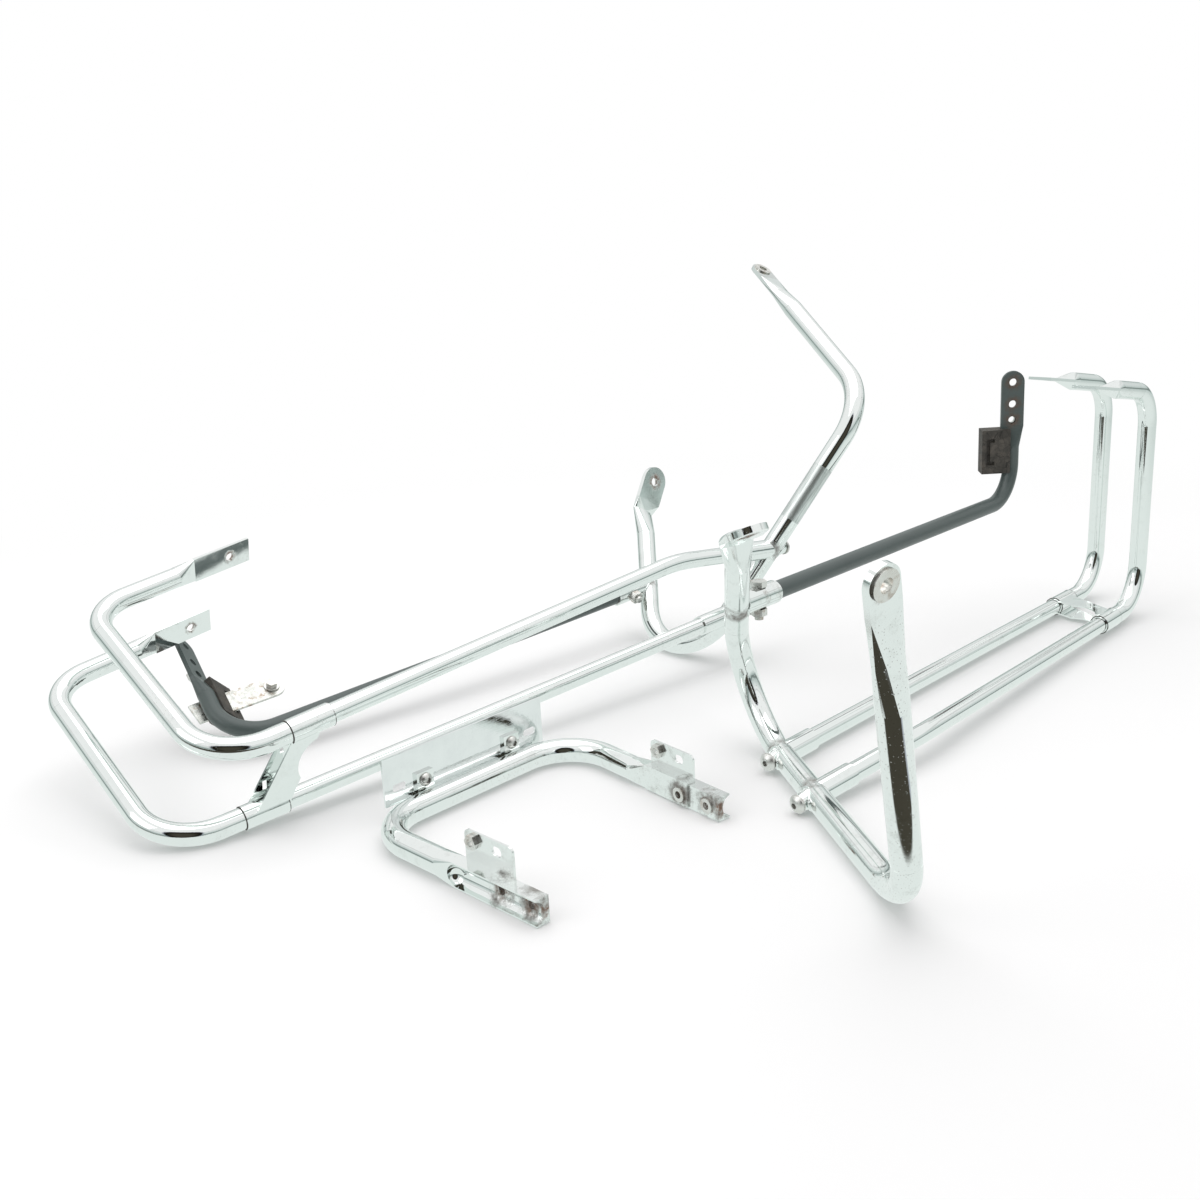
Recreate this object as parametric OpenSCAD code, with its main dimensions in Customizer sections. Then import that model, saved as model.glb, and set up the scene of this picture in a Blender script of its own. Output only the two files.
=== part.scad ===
// Pannier frame: two mirrored side frames and a rear bow with its plate, lying dismantled.
// Millimetres, +Z up. The origin is on the ground under the middle of the whole layout.

/* [Front hoop] */
// Outside diameter of the hoop tube
hoop_d = 22; // [20:0.5:24]
// Wall of the hoop tube
hoop_wall = 2; // [1.5:0.1:2.5]
// Base of the hoop, from corner to corner
hoop_base = 427; // [415:1:445]
// Turn of the hoop's plane away from square to the rails
hoop_turn = 54.5; // [52:0.5:58]
// Lean of the hoop's plane out of the upright
hoop_tilt = 13; // [9:0.5:16]
// Angle between the base and the first arm
arm_1_angle = 49; // [46:0.5:54]
// First arm, from its corner to the start of the tab
arm_1 = 288; // [270:1:310]
// Bend radius between the base and the first arm
arm_1_bend = 68; // [60:1:70]
// Angle between the base and the second arm
arm_2_angle = 108; // [100:1:115]
// Second arm, from its corner to the eye hole
arm_2 = 288; // [265:1:310]
// Bend radius between the base and the second arm
arm_2_bend = 70; // [50:1:90]

/* [Flattened arm ends] */
// Distance from the first arm's end to the tab's hole
tab_run = 40; // [34:1:50]
// Rise of the tab above the line of the base
tab_rise = 24; // [10:1:35]
// Width of the tab
tab_width = 36; // [30:1:40]
// Thickness of the tab
tab_thick = 5.5; // [4:0.5:7]
// Diameter of the tab's hole
tab_hole = 11; // [8:0.5:13]
// Width of the eye strip
eye_width = 26; // [24:1:30]
// Thickness of the eye strip
eye_thick = 5; // [4:0.5:7]
// Turn of the eye strip about the second arm
eye_turn = 21; // [0:1:40]
// Length over which the second arm flattens
eye_flare = 72; // [60:1:90]
// Outside diameter of the eye bush
bush_d = 21; // [18:0.5:23]
// Bore of the eye bush
bush_bore = 10; // [8:0.5:12]

/* [Rails] */
// Outside diameter of the rails
rail_d = 17.6; // [16:0.2:18]
// Wall of the rails
rail_wall = 1.8; // [1.2:0.1:2.2]
// Long rail's place on the hoop's base, from the first corner
long_rail_at = 148; // [147:1:160]
// Short rail's place on the hoop's base, from the first corner
short_rail_at = 234; // [222:1:250]
// Long rail's reach, from the hoop's first corner to the loop's rear corner
long_reach = 568; // [520:1:600]
// How much shorter the short rail reaches than the long one
reach_step = 46; // [20:1:80]
// Short rail's kink close to the hoop, sideways
kink_side = 19; // [12:1:24]
// Short rail's kink close to the hoop, upwards
kink_rise = 13; // [6:1:16]
// Outside diameter of the ferrules at the hoop
ferrule_d = 21; // [20:0.5:23]
// Reach of the ferrules from the hoop's axis
ferrule_reach = 44; // [36:1:60]
// Head diameter of the domed rail bolts
rail_bolt_head = 16; // [14:0.5:18]

/* [Rear loops] */
// Wall of the loop tubes, which slide over the rails
loop_wall = 1; // [0.8:0.1:1.4]
// Straight stretch from a loop's front end to its rear corner
loop_foot = 70; // [66:1:90]
// Height of the loops, from corner to corner
loop_height = 250; // [220:1:280]
// Lean of the loops' uprights
loop_lean = -0.5; // [-4:0.5:4]
// Length of the loops' top, from its corner to the hole
loop_top = 153; // [140:1:180]
// Rise of the loops' top towards the front
loop_rise = 9; // [4:1:14]
// Lower bend radius of the loops
loop_low_bend = 50; // [40:1:52]
// Upper bend radius of the loops
loop_high_bend = 45; // [36:1:55]
// Width of the loops' flattened ends
loop_strip = 25.5; // [23:0.5:28]
// Thickness of the loops' flattened ends
loop_strip_thick = 3; // [2.4:0.2:4]
// Diameter of the loops' holes
loop_hole = 8.5; // [6:0.5:10]

/* [Tie plate] */
// Length of the sleeves that wrap the rails
tie_sleeve = 40; // [30:1:44]
// Outside diameter of the sleeves
tie_sleeve_d = 21.2; // [20.6:0.2:23]
// Thickness of the pressed sheets
tie_sheet = 1.5; // [1:0.1:2]

/* [Stay] */
// Outside diameter of the stay
stay_d = 17; // [15:0.5:18]
// Wall of the stay
stay_wall = 2; // [1.5:0.1:2.5]
// Socket's place on the first arm, from the hoop's corner
socket_at = 184; // [176:1:200]
// Distance of the socket bolt from the arm's axis
socket_out = 32; // [30:1:38]
// Outside diameter of the socket
socket_d = 21.5; // [21:0.5:24]
// How much the right stay's run is shorter than the long rail's reach
right_stay_short = 90; // [60:1:130]
// How much the left stay's run is shorter than the long rail's reach
left_stay_short = 60; // [48:1:100]
// Right stay's upright, from its corner to the top hole
right_stay_up = 134; // [130:1:160]
// Left stay's upright, from its corner to the top hole
left_stay_up = 142; // [130:1:160]
// Right stay's lean along the rails
right_stay_lean = -1.5; // [-12:0.5:4]
// Left stay's lean along the rails
left_stay_lean = -9; // [-12:0.5:4]
// Left stay's turn in its socket
left_stay_turn = -7; // [-12:0.5:0]
// Bend radius of the stays
stay_bend = 42; // [36:1:48]
// Width of the stay's flattened top
stay_strip = 25; // [22:0.5:27]
// Thickness of the stay's flattened top
stay_strip_thick = 4.4; // [4:0.2:6]
// Turn of the flattened top about the upright
stay_strip_turn = 40; // [25:1:60]
// Diameter of the stay's holes
stay_hole = 8.5; // [6:0.5:9.5]

/* [Bumpers] */
// Width of the rubber bumpers
bumper_width = 26; // [22:1:30]
// Height of the rubber bumpers
bumper_height = 50; // [44:1:54]
// Thickness of the rubber bumpers
bumper_thick = 20; // [16:1:24]

/* [Strap] */
// Length of the left frame's strap
strap_length = 96; // [88:1:110]
// Width of the strap
strap_width = 26; // [22:1:30]
// Thickness of the strap
strap_thick = 2.5; // [2:0.5:4]

/* [Rear bow] */
// Outside diameter of the bow's tube
bow_d = 22; // [20:0.5:24]
// Wall of the bow's tube
bow_wall = 2; // [1.5:0.1:2.5]
// Width of the bow between its arms' axes, at its corners
bow_width = 232; // [220:1:250]
// Length of the bow's arms, from the corners
bow_arm = 206; // [190:1:220]
// Slant of the bow's right arm
bow_slant = 7.4; // [0:0.2:10]
// Bend radius of the bow's corners
bow_bend = 48; // [36:1:55]
// Length of the pressed channel ends
channel_length = 112; // [108:1:116]
// Diameter of the channel holes
channel_hole = 7; // [5:0.5:9]
// Distance between the two channel holes
channel_pitch = 32; // [28:1:34]

/* [Plate] */
// Width of the plate
plate_width = 182; // [172:1:200]
// Height of the plate
plate_height = 43; // [38:1:50]
// Thickness of the plate
plate_thick = 2; // [1.5:0.1:3]
// Distance between the plate's slots
slot_pitch = 150; // [140:1:156]
// Distance between the plate's bolts
lug_pitch = 100; // [90:1:110]

/* [Layout] */
// Where the left frame lies
left_at = [37.7, 133.6, -70.4];
// How the left frame is turned
left_turn = [70.96, 4, 173.78];
// Where the bow's corner at the left lies
bow_at = [-409, 58];

/* [Hidden] */
$fn = 48;
hull_fn = 32;
layout_middle = [17.48, 19.21];
// Lift that brings the lowest swollen bend to the floor
layout_rise = 0.1;

// A bend is this much wider than the straights, which reach this far into it
swell = 0.05;
lap = 0.5;
// Room between a screw and the hole it passes
play = 0.2;
// Thickness of the slices that the blended ends are hulled from
slice = 0.4;
// A many-sided slice that clears a round tube of the same radius
function around(r) = (r + swell) / cos(180 / hull_fn);
// A many-sided slice that stays clear of a round bore of the same radius
function within(r) = r - 3 * swell;

function unit(v) = v / norm(v);
function mix(a, b, t) = a + (b - a) * t;
function square_to(a, b) = unit(a - b * (a * b) / (b * b));
function bounded(v) = max(-1, min(1, v));
// Turns that carry X and Z to the two given directions
function turns(x, z) = let (y = cross(z, x), steep = abs(x[2]) > 1 - 1e-9)
    steep
        ? [atan2(-x[2] * y[0], y[1]), -90 * sign(x[2]), 0]
        : [atan2(y[2], z[2]), asin(bounded(-x[2])), atan2(x[1], x[0])];
function beside(z) = unit(abs(z[2]) < 0.9 ? cross(z, [0, 0, 1]) : cross(z, [1, 0, 0]));
function half_angle(a, b, c) = acos(bounded(unit(a - b) * unit(c - b))) / 2;
function setback(a, b, c, bend) = bend / tan(half_angle(a, b, c));
// The same points with the first and last one pushed out along the path
function stretched(p, before, after) = let (n = len(p)) [
    for (i = [0 : n - 1])
        i == 0 ? p[0] + unit(p[0] - p[1]) * before : i == n - 1 ? p[i] + unit(p[i] - p[i - 1]) * after : p[i]
];

module at(p, x, z) {
    translate(p)
        rotate(turns(x, z))
            children();
}

module rod(a, b, r) {
    d = unit(b - a);
    at(a, beside(d), d)
        cylinder(r = r, h = norm(b - a));
}

module elbow(a, b, c, bend, r) {
    u = unit(a - b);
    v = unit(c - b);
    h = half_angle(a, b, c);
    middle = b + unit(u + v) * bend / sin(h);
    start = b + u * bend / tan(h);
    at(middle, unit(start - middle), unit(cross(v, u)))
        rotate_extrude(angle = 180 - 2 * h)
            translate([bend, 0])
                circle(r = r + swell);
}

// A round bar along the points p, with a bend radius for each inner point
module bar(p, bends, r) {
    last = len(p) - 2;
    for (i = [0 : last]) {
        d = unit(p[i + 1] - p[i]);
        from = i == 0 ? 0 : setback(p[i - 1], p[i], p[i + 1], bends[i - 1]) - lap;
        to = i == last ? 0 : setback(p[i], p[i + 1], p[i + 2], bends[i]) - lap;
        rod(p[i] + d * from, p[i + 1] - d * to, r);
        if (i < last)
            elbow(p[i], p[i + 1], p[i + 2], bends[i], r);
    }
}

// Slices that the blended ends are hulled from: round, oval and flat
module round_slice(p, x, z, r) {
    at(p, x, z)
        cylinder(r = r, h = slice, center = true, $fn = hull_fn);
}

module oval_slice(p, x, z, width, thick) {
    at(p, x, z)
        scale([width, thick, 1])
            cylinder(d = 1, h = slice, center = true, $fn = hull_fn);
}

module flat_slice(p, x, z, width, thick) {
    at(p, x, z)
        cube([width - 2 * swell, thick - 2 * swell, slice], center = true);
}

module hex_prism(across, h) {
    cylinder(d = across / cos(30), h = h, $fn = 6);
}

// Side frame, driving points in its own frame: the hoop's base lies along "along"

hoop_r = hoop_d / 2;
rail_r = rail_d / 2;
along = [-cos(hoop_turn), -sin(hoop_turn), 0];
across = [-sin(hoop_turn), cos(hoop_turn), 0];
rising = across * sin(hoop_tilt) + [0, 0, cos(hoop_tilt)];
hoop_normal = cross(along, rising);
corner_1 = [0, 0, hoop_r];
corner_2 = corner_1 + hoop_base * along;
arm_1_way = cos(arm_1_angle) * along + sin(arm_1_angle) * rising;
arm_2_way = -cos(arm_2_angle) * along + sin(arm_2_angle) * rising;
arm_1_end = corner_1 + arm_1 * arm_1_way;
tab_way = cos(tab_rise) * along + sin(tab_rise) * rising;
tab_up = cross(tab_way, hoop_normal);
tab_at = arm_1_end + tab_run * tab_way;
eye_at = corner_2 + arm_2 * arm_2_way;
eye_ahead = square_to(along, arm_2_way);
eye_normal = cos(eye_turn) * eye_ahead + sin(eye_turn) * cross(arm_2_way, eye_ahead);
eye_side = cross(arm_2_way, eye_normal);

long_start = corner_1 + long_rail_at * along;
short_start = corner_1 + short_rail_at * along;
short_reach = long_reach - reach_step;
long_low = [long_reach, long_start[1], hoop_r];
short_low = [short_reach, short_start[1], hoop_r];
short_kink = [0, short_start[1] - kink_side, hoop_r + kink_rise];
kink_bend = 200;
short_way = unit(short_low - short_kink);
kink_way = unit(short_kink - short_start);
long_seam = long_low - [loop_foot, 0, 0];
short_seam = short_low - loop_foot * short_way;

loop_r = rail_r + loop_wall;
upright = [sin(loop_lean), 0, cos(loop_lean)];
forward = [-cos(loop_rise), 0, sin(loop_rise)];
strip_start = 40;
loop_flare = 20;
loop_tip = 23;
loop_overlap = 18;
// The flared end is this much slimmer than the strip it runs into
strip_sink = 1;

stay_r = stay_d / 2;
socket_r = socket_d / 2;
stay_bolt_at = corner_1 + socket_at * arm_1_way + [socket_out, 0, 0];
socket_front = 22;
stay_insert = 10;
bolt_r = 4;
bolt_hole_r = bolt_r + play;
spot_face = 0.6;
bolt_across = 13;
bolt_head_h = 5.5;
nut_h = 6.5;

// Front hoop: one tube with a flattened end on each arm, and a tab plate welded to the first one

hoop_bends = [arm_1_bend, arm_2_bend];
tab_flare = 34;
tab_blend = 14;
mid_width = 31;
mid_thick = 13;
// The tab's bend keeps its top flush with the tab
tab_bend_at = arm_1_end - (mid_thick - tab_thick) / 2 * tab_up;
eye_blend = 22;
oval_width = 25;
oval_thick = 14;
arm_1_round = arm_1_end - tab_flare * arm_1_way;
arm_2_round = eye_at - (eye_flare + eye_blend) * arm_2_way;
arm_2_oval = eye_at - (eye_flare / 2 + eye_blend) * arm_2_way;
hoop_path = [arm_1_round, corner_1, corner_2, arm_2_round];
bush_body_r = 7;
bush_flange = 1.6;

module hoop_outline() {
    bar(hoop_path, hoop_bends, hoop_r);
}

module tab_blend_near(r, width, thick) {
    hull() {
        round_slice(arm_1_round - lap * arm_1_way, hoop_normal, arm_1_way, r);
        oval_slice(tab_bend_at, hoop_normal, unit(arm_1_way + tab_way), width, thick);
    }
}

module tab_blend_far() {
    hull() {
        oval_slice(tab_bend_at, hoop_normal, unit(arm_1_way + tab_way), mid_width, mid_thick);
        flat_slice(arm_1_end + (tab_blend - slice / 2) * tab_way, hoop_normal, tab_way, tab_width, tab_thick);
    }
}

module mounting_tab() {
    color("gainsboro")
        at(tab_at, tab_way, tab_up)
            linear_extrude(tab_thick, center = true)
                difference() {
                    union() {
                        circle(d = tab_width);
                        translate([tab_blend - tab_run, -tab_width / 2])
                            square([tab_run - tab_blend, tab_width]);
                    }
                    circle(d = tab_hole);
                }
}

module eye_blend_near(r, width, thick) {
    hull() {
        round_slice(arm_2_round - lap * arm_2_way, eye_side, arm_2_way, r);
        oval_slice(arm_2_oval, eye_side, arm_2_way, width, thick);
    }
}

module eye_blend_far() {
    hull() {
        oval_slice(arm_2_oval, eye_side, arm_2_way, oval_width, oval_thick);
        flat_slice(eye_at - (eye_blend - 1) * arm_2_way, eye_side, arm_2_way, eye_width, eye_thick);
    }
}

module eye_strip() {
    at(eye_at, arm_2_way, eye_normal)
        linear_extrude(eye_thick, center = true) {
            circle(d = eye_width);
            translate([-eye_blend, -eye_width / 2])
                square([eye_blend, eye_width]);
        }
}

// Screw holes through the base, where a rail is bolted on from the other side
module rail_bolt_holes() {
    for (p = rail_joints)
        rod(p[0] - 2 * hoop_d * p[1], p[0] + 2 * hoop_d * p[1], bolt_hole_r);
}

module hoop() {
    bore = hoop_r - hoop_wall;
    color("gainsboro")
        difference() {
            union() {
                hoop_outline();
                tab_blend_near(around(hoop_r), mid_width, mid_thick);
                tab_blend_far();
                eye_blend_near(around(hoop_r), oval_width, oval_thick);
                eye_blend_far();
                eye_strip();
            }
            bar(hoop_path, hoop_bends, bore);
            tab_blend_near(within(bore), mid_width - 2 * hoop_wall, mid_thick - 2 * hoop_wall);
            eye_blend_near(within(bore), oval_width - 2 * hoop_wall, oval_thick - 2 * hoop_wall);
            at(eye_at, arm_2_way, eye_normal)
                cylinder(r = bush_body_r, h = 2 * eye_thick, center = true);
            rail_bolt_holes();
        }
}

module eye_bush() {
    color("silver")
        at(eye_at, arm_2_way, eye_normal)
            difference() {
                union() {
                    cylinder(r = bush_body_r, h = eye_thick, center = true);
                    for (side = [0, 1])
                        mirror([0, 0, side])
                            translate([0, 0, eye_thick / 2])
                                cylinder(d = bush_d, h = bush_flange);
                }
                cylinder(d = bush_bore, h = 3 * eye_thick, center = true);
            }
}

// Stay socket: a short tube welded across the first arm, with a clamping bolt

socket_start = stay_bolt_at - [socket_out, 0, 0];
socket_end = stay_bolt_at + [socket_front, 0, 0];
stay_start = stay_bolt_at - [stay_insert, 0, 0];

module stay_socket() {
    color("gainsboro")
        difference() {
            rod(socket_start, socket_end, socket_r);
            hoop_outline();
            rod(stay_start, socket_end + [1, 0, 0], stay_r);
            translate(stay_bolt_at)
                cylinder(r = bolt_hole_r, h = 2 * socket_d, center = true);
            for (side = [0, 1])
                translate(stay_bolt_at)
                    mirror([0, 0, side])
                        translate([0, 0, socket_r - spot_face])
                            cylinder(d = bolt_across / cos(30) + 1, h = socket_d);
        }
}

module socket_bolt() {
    seat = socket_r - spot_face;
    color("lightgray")
        translate(stay_bolt_at) {
            translate([0, 0, seat])
                hex_prism(bolt_across, bolt_head_h);
            translate([0, 0, -seat - nut_h - 4])
                cylinder(r = bolt_r, h = 2 * seat + nut_h + 5);
        }
}

module socket_nut() {
    seat = socket_r - spot_face;
    color("lightgray")
        translate(stay_bolt_at - [0, 0, seat + nut_h])
            difference() {
                hex_prism(bolt_across, nut_h);
                translate([0, 0, -1])
                    cylinder(r = bolt_r, h = nut_h + 2);
            }
}

// Rails: each is welded to the base, plugged at that end and bolted through the base

rail_joints = [[long_start, [1, 0, 0]], [short_start, kink_way]];
plug = 34;
tapped = 24;

module rail(p, bends) {
    bore = rail_r - rail_wall;
    start = p[0];
    way = unit(p[1] - p[0]);
    inner = concat([start + plug * way], [for (i = [1 : len(p) - 1]) p[i]]);
    color("gainsboro")
        difference() {
            bar(p, bends, rail_r);
            hoop_outline();
            bar(stretched(inner, 0, 1), bends, bore);
            rod(start, start + tapped * way, bolt_r);
        }
}

module long_rail() {
    rail([long_start, long_seam + [loop_overlap, 0, 0]], []);
}

module short_rail() {
    rail([short_start, short_kink, short_seam + loop_overlap * short_way], [kink_bend]);
}

module ferrules() {
    color("gainsboro")
        for (p = rail_joints)
            difference() {
                rod(p[0], p[0] + ferrule_reach * p[1], ferrule_d / 2);
                hoop_outline();
                rod(p[0] - p[1], p[0] + (ferrule_reach + 1) * p[1], rail_r);
            }
}

boss_top_r = 7;
boss_low_r = 9.5;
boss_start = 5;
washer_r = rail_bolt_head / 2 + 0.2;
washer_thick = 1.2;
// The bosses end just clear of the slanting base tube's side
boss_end = hoop_r / sin(hoop_turn) + washer_r / tan(hoop_turn) + 0.4;
rail_head_h = 5;
socket_across = 5;

module boss_axis(p) {
    at(p[0], beside(-p[1]), -p[1])
        children();
}

module bosses() {
    color("gainsboro")
        for (p = rail_joints)
            difference() {
                boss_axis(p)
                    translate([0, 0, boss_start])
                        cylinder(r1 = boss_low_r, r2 = boss_top_r, h = boss_end - boss_start);
                hoop_outline();
                boss_axis(p)
                    cylinder(r = bolt_hole_r, h = 2 * boss_end);
            }
}

module rail_washers() {
    color("silver")
        for (p = rail_joints)
            boss_axis(p)
                translate([0, 0, boss_end])
                    difference() {
                        cylinder(r = washer_r, h = washer_thick);
                        translate([0, 0, -1])
                            cylinder(r = bolt_hole_r, h = washer_thick + 2);
                    }
}

// A domed head: a ball's cap on a short rim, with a hexagon socket
module domed_head(d, h, recess) {
    rim = 1.2;
    cap = h - rim;
    ball = (d * d / 4 + cap * cap) / (2 * cap);
    difference() {
        union() {
            cylinder(d = d, h = rim);
            intersection() {
                translate([0, 0, h - ball])
                    sphere(r = ball);
                cylinder(d = d, h = h + 1);
            }
        }
        translate([0, 0, h - recess])
            hex_prism(socket_across, recess + 1);
    }
}

module rail_bolts() {
    under_head = boss_end + washer_thick;
    color("silver")
        for (p = rail_joints)
            boss_axis(p) {
                translate([0, 0, under_head])
                    domed_head(rail_bolt_head, rail_head_h, 3);
                translate([0, 0, -tapped + 2])
                    cylinder(r = bolt_r, h = under_head + tapped - 1);
            }
}

// Tie plate: two sleeves that wrap the rails, and two pressed sheets between them

tie_across = square_to(short_seam - long_seam, [1, 0, 0]);
tie_normal = cross(tie_across, [1, 0, 0]);
tie_span = (short_seam - long_seam) * tie_across;
tie_back = (long_seam - short_seam)[0];
tie_sleeve_r = tie_sleeve_d / 2;
tie_sheet_at = rail_r - 2.2;
tie_slot = [4, 9];

// The web in its own plane: x along the rails from the long rail's seam, y across to the short rail
module tie_web() {
    rear_long = -6;
    rear_short = -tie_back - 2;
    front_long = -tie_sleeve + 1;
    front_short = -tie_back - tie_sleeve + 12;
    waist = 26;
    difference() {
        polygon([[rear_long, 0], [rear_short, tie_span], [front_short, tie_span], [front_long, 0]]);
        translate([mix(front_long, front_short, 0.5) - waist + 7, tie_span / 2])
            circle(r = waist);
    }
}

module tie_plate() {
    color("gainsboro")
        difference() {
            union() {
                rod(long_seam - [tie_sleeve, 0, 0], long_seam, tie_sleeve_r);
                rod(short_seam - tie_sleeve * short_way, short_seam, tie_sleeve_r);
                at(long_seam, [1, 0, 0], -tie_normal)
                    for (side = [0, 1])
                        mirror([0, 0, side])
                            translate([0, 0, tie_sheet_at])
                                linear_extrude(tie_sheet)
                                    tie_web();
            }
            rod(long_seam - [tie_sleeve + 1, 0, 0], long_seam + [1, 0, 0], rail_r);
            rod(short_seam - (tie_sleeve + 1) * short_way, short_seam + short_way, rail_r);
            at(long_seam, [1, 0, 0], -tie_normal)
                for (t = [0.28, 0.72])
                    translate([mix(-14, -tie_back - 8, t), t * tie_span, -tie_sheet_at])
                        cube([tie_slot[0], tie_slot[1], 4 * tie_sheet], center = true);
        }
}

// Rear loops: over the rail's end, up, forward, and flattened at the tip

module loop(seam, low) {
    high = low + loop_height * upright;
    hole = high + loop_top * forward;
    flat_from = hole - strip_start * forward;
    round_to = hole - (strip_start + loop_flare) * forward;
    side = [0, 1, 0];
    up = cross(forward, side);
    bends = [loop_low_bend, loop_high_bend];
    path = [seam, low, high, round_to];
    color("gainsboro")
        difference() {
            union() {
                bar(path, bends, loop_r);
                hull() {
                    round_slice(round_to - lap * forward, side, forward, around(loop_r));
                    flat_slice(flat_from + forward, side, forward, loop_strip - strip_sink,
                        loop_strip_thick - strip_sink);
                }
                at(hole, forward, up)
                    translate([-strip_start, -loop_strip / 2, -loop_strip_thick / 2])
                        cube([strip_start + loop_tip, loop_strip, loop_strip_thick]);
            }
            bar(stretched(path, 1, 0), bends, rail_r);
            hull() {
                round_slice(round_to - lap * forward, side, forward, within(rail_r));
                flat_slice(flat_from - 3 * forward, side, forward, loop_strip - 5, 1);
            }
            at(hole, forward, up)
                cylinder(d = loop_hole, h = 4 * loop_strip_thick, center = true);
        }
}

module long_loop() {
    loop(long_seam, long_low);
}

module short_loop() {
    loop(short_seam, short_low);
}

// Stay: from its socket along the rails, a bend, and a flattened upright with three holes

right_stay_reach = long_reach - right_stay_short;
left_stay_reach = long_reach - left_stay_short;
stay_flare = 22;
hole_pitch_1 = 24.6;
hole_pitch_2 = 18;
stay_nut_r = bolt_across / sqrt(3);
stay_flat = hole_pitch_1 + hole_pitch_2 + stay_nut_r + 0.5;
stay_nut_h = 5;

function stay_corner(reach) = stay_bolt_at + [reach, 0, 0];
function stay_way(lean, turn) = [sin(lean), sin(turn) * cos(lean), cos(turn) * cos(lean)];
function stay_face(way) = square_to([cos(stay_strip_turn), sin(stay_strip_turn), 0], way);

module stay(reach, up, lean, turn) {
    way = stay_way(lean, turn);
    corner = stay_corner(reach);
    face = stay_face(way);
    side = cross(way, face);
    top = corner + up * way;
    flat_from = top - stay_flat * way;
    round_to = flat_from - stay_flare * way;
    path = [stay_start, corner, round_to];
    color("darkslategray")
        difference() {
            union() {
                bar(path, [stay_bend], stay_r);
                hull() {
                    round_slice(round_to - lap * way, side, way, around(stay_r));
                    flat_slice(flat_from + way, side, way, stay_strip, stay_strip_thick);
                }
                at(top, way, face)
                    linear_extrude(stay_strip_thick, center = true) {
                        circle(d = stay_strip);
                        translate([-stay_flat, -stay_strip / 2])
                            square([stay_flat, stay_strip]);
                    }
            }
            bar(stretched(path, 1, 0), [stay_bend], stay_r - stay_wall);
            hull() {
                round_slice(round_to - lap * way, side, way, within(stay_r - stay_wall));
                flat_slice(flat_from - 6 * way, side, way, stay_strip - 8, 1);
            }
            at(top, way, face)
                for (d = [0, hole_pitch_1, hole_pitch_1 + hole_pitch_2])
                    translate([-d, 0, 0])
                        cylinder(d = stay_hole, h = 4 * stay_strip_thick, center = true);
            translate(stay_bolt_at)
                cylinder(r = bolt_hole_r, h = 2 * socket_d, center = true);
        }
}

// Weld nut behind the stay's lowest hole
module stay_nut(reach, up, lean, turn) {
    way = stay_way(lean, turn);
    top = stay_corner(reach) + up * way;
    color("dimgray")
        at(top - (hole_pitch_1 + hole_pitch_2) * way, way, stay_face(way))
            translate([0, 0, stay_strip_thick / 2])
                difference() {
                    hex_prism(bolt_across, stay_nut_h);
                    translate([0, 0, -1])
                        cylinder(d = stay_hole - 1.5, h = stay_nut_h + 2);
                }
}

bumper_drop = 77;
bumper_root = 3;
groove_wide = 4;
groove_deep = 3;
groove_arm = 9;
groove_tall = 30;
groove_in = 5;

// Rubber bumper: a block against the upright's side, with a C-shaped groove in its face
module bumper(reach, up, lean, turn) {
    way = stay_way(lean, turn);
    face = stay_face(way);
    side = cross(way, face);
    middle = stay_corner(reach) + (up - bumper_drop) * way;
    outer = stay_r + bumper_width;
    color("#3a342e")
        difference() {
            at(middle, side, way)
                translate([bumper_root, -bumper_thick / 2, -bumper_height / 2])
                    cube([outer - bumper_root, bumper_thick, bumper_height]);
            stay_solid(reach, up, lean, turn);
            at(middle, side, way)
                translate([outer - groove_in, bumper_thick / 2 - groove_deep, 0]) {
                    translate([-groove_wide, 0, -groove_tall / 2])
                        cube([groove_wide, 2 * groove_deep, groove_tall]);
                    for (end = [-1, 1])
                        translate([-groove_arm, 0, end * (groove_tall - groove_wide) / 2 - groove_wide / 2])
                            cube([groove_arm, 2 * groove_deep, groove_wide]);
                }
        }
}

// The stay's outside, for what seats against it
module stay_solid(reach, up, lean, turn) {
    way = stay_way(lean, turn);
    face = stay_face(way);
    side = cross(way, face);
    top = stay_corner(reach) + up * way;
    flat_from = top - stay_flat * way;
    round_to = flat_from - stay_flare * way;
    bar([stay_start, stay_corner(reach), round_to], [stay_bend], stay_r);
    hull() {
        round_slice(round_to - lap * way, side, way, around(stay_r));
        flat_slice(flat_from + way, side, way, stay_strip, stay_strip_thick);
    }
}

// Strap: a flat bar across the left stay's upright, with a flanged bolt at its free end

strap_drop = 84;
strap_rise = left_stay_up - strap_drop;
strap_back = 76;
strap_flange_d = 15;

// The strap's plane touches the stay's bend all along, so it turns with the stay
module strap_frame() {
    translate(stay_bolt_at)
        rotate([-left_stay_turn, 0, 0])
            translate([left_stay_reach - strap_back, stay_r, strap_rise])
                children();
}

module strap_bar() {
    strap_frame()
        rotate([-90, 0, 0])
            linear_extrude(strap_thick) {
                circle(d = strap_width);
                translate([0, -strap_width / 2])
                    square([strap_length - strap_width / 2, strap_width]);
            }
}

module strap() {
    color("lightgray")
        difference() {
            strap_bar();
            strap_frame()
                rotate([-90, 0, 0])
                    cylinder(r = bolt_hole_r, h = 3 * strap_thick, center = true);
        }
}

// The left bumper is slit for the strap that runs through it
module strapped_bumper() {
    color("#3a342e")
        difference() {
            bumper(left_stay_reach, left_stay_up, left_stay_lean, left_stay_turn);
            strap_bar();
        }
}

module strap_bolt() {
    color("lightgray")
        strap_frame()
            rotate([90, 0, 0]) {
                cylinder(d = strap_flange_d, h = 1.6);
                hex_prism(bolt_across - 3, 7);
                translate([0, 0, -strap_thick - nut_h - 3])
                    cylinder(r = bolt_r, h = strap_thick + nut_h + 4);
            }
}

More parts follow.
